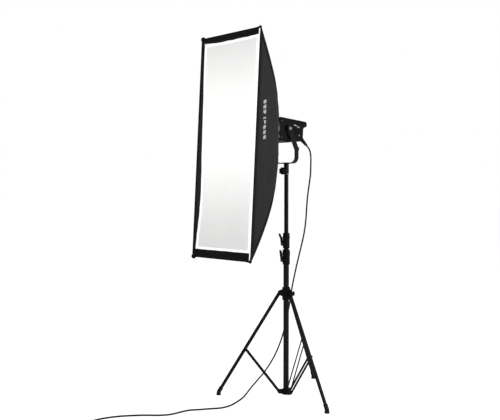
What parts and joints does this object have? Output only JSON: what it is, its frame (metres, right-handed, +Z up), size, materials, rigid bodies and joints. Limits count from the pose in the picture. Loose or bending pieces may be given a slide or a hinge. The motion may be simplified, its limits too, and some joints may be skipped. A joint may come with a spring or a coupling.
{
  "type": "studio softbox on light stand",
  "caption": "Tall strip softbox on a continuous lamp head with tilting yoke, held by a folding three-section light stand, with its power cord on the floor.",
  "frame": {"origin": "centre of the object's box at floor level, the free cord left out", "axes": "+Z up along the stand's column; the softbox faces -Y"},
  "size_m": [0.7414, 1.5326, 1.8753],
  "materials": {
    "black_metal": "satin black paint",
    "steel": "bare steel",
    "alu": "bare aluminium",
    "rubber": "matte",
    "plastic": "fine grained black",
    "grey_plastic": "smooth grey",
    "gloss": "gloss black",
    "led": "yellow phosphor",
    "glass": "clear",
    "black_fabric": "black nylon",
    "white_fabric": "white diffusion cloth"
  },
  "bodies": {
    "base": {"base_tube": "black_metal", "lower_hub": "plastic", "lower_clamp": "plastic", "cord_5": "rubber", "cord_coil": "rubber", "mains_plug": "plastic"},
    "lower_lever": {"lower_clamp_lever": "plastic"},
    "hub": {"leg_hub": "plastic"},
    "hub_knob": {"hub_lock_knob": "plastic"},
    "mid": {"mid_tube": "black_metal", "upper_clamp": "plastic", "cord_4": "rubber"},
    "upper_lever": {"upper_clamp_lever": "plastic"},
    "top": {"top_tube": "black_metal", "spigot": "steel", "cord_3": "rubber"},
    "yoke": {"yoke": "black_metal", "receiver": "black_metal", "cord_2": "rubber"},
    "receiver_knob": {"receiver_knob": "plastic"},
    "lamp": {"front_housing": "plastic", "rear_housing": "plastic", "top_cover": "plastic", "belly_cover": "grey_plastic", "mount_ring": "black_metal", "heat_sink": "alu", "led_module": "led", "front_glass": "glass", "fan_frame": "plastic", "control_panel": "plastic", "display": "gloss", "pivot_bolt": "steel", "cord_connector": "plastic", "strain_relief": "rubber", "cord_1": "rubber"},
    "tilt_knob": {"tilt_knob": "plastic"},
    "fan": {"fan_rotor": "plastic"},
    "dial": {"dimmer_dial": "plastic"},
    "mode_button": {"mode_button": "grey_plastic"},
    "power_switch": {"power_switch": "gloss"},
    "latch": {"mount_latch": "steel"},
    "softbox": {"softbox_shell": "black_fabric", "speedring": "alu", "rods": "steel", "rod_pockets": "black_fabric", "front_lip": "black_fabric", "front_diffuser": "white_fabric", "inner_diffuser": "white_fabric"},
    "leg_a": {"leg_tube_a": "black_metal", "leg_bracket_a": "plastic", "foot_a": "rubber"},
    "spreader_a": {"spreader_a": "black_metal"},
    "leg_b": {"leg_tube_b": "black_metal", "leg_bracket_b": "plastic", "foot_b": "rubber"},
    "spreader_b": {"spreader_b": "black_metal"},
    "leg_c": {"leg_tube_c": "black_metal", "leg_bracket_c": "plastic", "foot_c": "rubber"},
    "spreader_c": {"spreader_c": "black_metal"}
  },
  "joints": [
    {"name": "hub_slide", "type": "slide", "parent": "base", "child": "hub", "axis": [0, 0, 1], "range_m": [0, 0.113], "deforming": ["cord_5", "cord_coil", "mains_plug"]},
    {"name": "hub_knob_turn", "type": "hinge", "parent": "hub", "child": "hub_knob", "pos_m": [-0.02579, 0.08061, 0.546], "axis": [0.7071, 0.7071, 0], "continuous": true},
    {"name": "lower_lever_open", "type": "hinge", "parent": "base", "child": "lower_lever", "pos_m": [-0.06503, 0.04137, 0.727], "axis": [0.7071, -0.7071, 0], "range_deg": [0, 100]},
    {"name": "mid_slide", "type": "slide", "parent": "base", "child": "mid", "axis": [0, 0, 1], "range_m": [-0.005, 0.5], "deforming": ["cord_4"]},
    {"name": "upper_lever_open", "type": "hinge", "parent": "mid", "child": "upper_lever", "pos_m": [-0.06397, 0.04243, 0.814], "axis": [0.7071, -0.7071, 0], "range_deg": [0, 100]},
    {"name": "top_slide", "type": "slide", "parent": "mid", "child": "top", "axis": [0, 0, 1], "range_m": [-0.28, 0.25], "deforming": ["cord_3"]},
    {"name": "pan", "type": "hinge", "parent": "top", "child": "yoke", "pos_m": [-0.047, 0.0594, 1.2], "axis": [0, 0, 1], "range_deg": [-170, 170], "deforming": ["cord_2"]},
    {"name": "receiver_knob_turn", "type": "hinge", "parent": "yoke", "child": "receiver_knob", "pos_m": [-0.04909, 0.02947, 1.203], "axis": [-0.0698, -0.9976, 0], "continuous": true},
    {"name": "tilt", "type": "hinge", "parent": "yoke", "child": "lamp", "pos_m": [-0.047, -0.0016, 1.421], "axis": [-1, 0, 0], "range_deg": [-28, 35], "deforming": ["cord_1"]},
    {"name": "tilt_knob_turn", "type": "hinge", "parent": "lamp", "child": "tilt_knob", "pos_m": [-0.137, -0.0016, 1.421], "axis": [-1, 0, 0], "continuous": true},
    {"name": "fan_spin", "type": "hinge", "parent": "lamp", "child": "fan", "pos_m": [-0.047, 0.0599, 1.41114], "axis": [0, -0.998, 0.0624], "continuous": true},
    {"name": "dial_turn", "type": "hinge", "parent": "lamp", "child": "dial", "pos_m": [-0.037, 0.13226, 1.3986], "axis": [0, 0.998, -0.0624], "continuous": true},
    {"name": "mode_press", "type": "slide", "parent": "lamp", "child": "mode_button", "axis": [0, -0.998, 0.0624], "range_m": [0, 0.002], "stiffness_N_per_m": 400},
    {"name": "switch_rock", "type": "hinge", "parent": "lamp", "child": "power_switch", "pos_m": [-0.09, 0.12301, 1.38515], "axis": [1, 0, 0], "range_deg": [0, 7]},
    {"name": "latch_pull", "type": "slide", "parent": "lamp", "child": "latch", "axis": [0, 0.0624, 0.998], "range_m": [0, 0.004], "stiffness_N_per_m": 500},
    {"name": "softbox_turn", "type": "hinge", "parent": "lamp", "child": "softbox", "pos_m": [-0.047, -0.07683, 1.41969], "axis": [0, -0.998, 0.0624], "range_deg": [-90, 90]},
    {"name": "leg_a_fold", "type": "hinge", "parent": "hub", "child": "leg_a", "pos_m": [-0.07246, 0.03394, 0.551], "axis": [0.7071, -0.7071, 0], "range_deg": [-0.01, 27.98], "deforming": ["cord_5", "cord_coil", "mains_plug"]},
    {"name": "spreader_a_fold", "type": "hinge", "parent": "base", "child": "spreader_a", "pos_m": [-0.07387, 0.03253, 0.018], "axis": [-0.7071, 0.7071, 0], "range_deg": [-0.01, 34.31], "deforming": ["cord_5", "cord_coil", "mains_plug"]},
    {"name": "leg_b_fold", "type": "hinge", "parent": "hub", "child": "leg_b", "pos_m": [-0.01223, 0.05008, 0.551], "axis": [0.2588, 0.9659, 0], "range_deg": [-0.01, 27.98], "deforming": ["cord_5", "cord_coil", "mains_plug"]},
    {"name": "spreader_b_fold", "type": "hinge", "parent": "base", "child": "spreader_b", "pos_m": [-0.0103, 0.04956, 0.018], "axis": [-0.2588, -0.9659, 0], "range_deg": [-0.01, 34.31], "deforming": ["cord_5", "cord_coil", "mains_plug"]},
    {"name": "leg_c_fold", "type": "hinge", "parent": "hub", "child": "leg_c", "pos_m": [-0.05632, 0.09417, 0.551], "axis": [-0.9659, -0.2588, 0], "range_deg": [-0.01, 27.98], "deforming": ["cord_5", "cord_coil", "mains_plug"]},
    {"name": "spreader_c_fold", "type": "hinge", "parent": "base", "child": "spreader_c", "pos_m": [-0.05683, 0.0961, 0.018], "axis": [0.9659, 0.2588, 0], "range_deg": [-0.01, 34.31], "deforming": ["cord_5", "cord_coil", "mains_plug"]}
  ],
  "couplings": [
    {"joint": "leg_a_fold", "follows": "hub_slide", "rad_per_m": 4.3182},
    {"joint": "spreader_a_fold", "follows": "hub_slide", "rad_per_m": 5.2957},
    {"joint": "leg_b_fold", "follows": "hub_slide", "rad_per_m": 4.3182},
    {"joint": "spreader_b_fold", "follows": "hub_slide", "rad_per_m": 5.2957},
    {"joint": "leg_c_fold", "follows": "hub_slide", "rad_per_m": 4.3182},
    {"joint": "spreader_c_fold", "follows": "hub_slide", "rad_per_m": 5.2957}
  ]
}
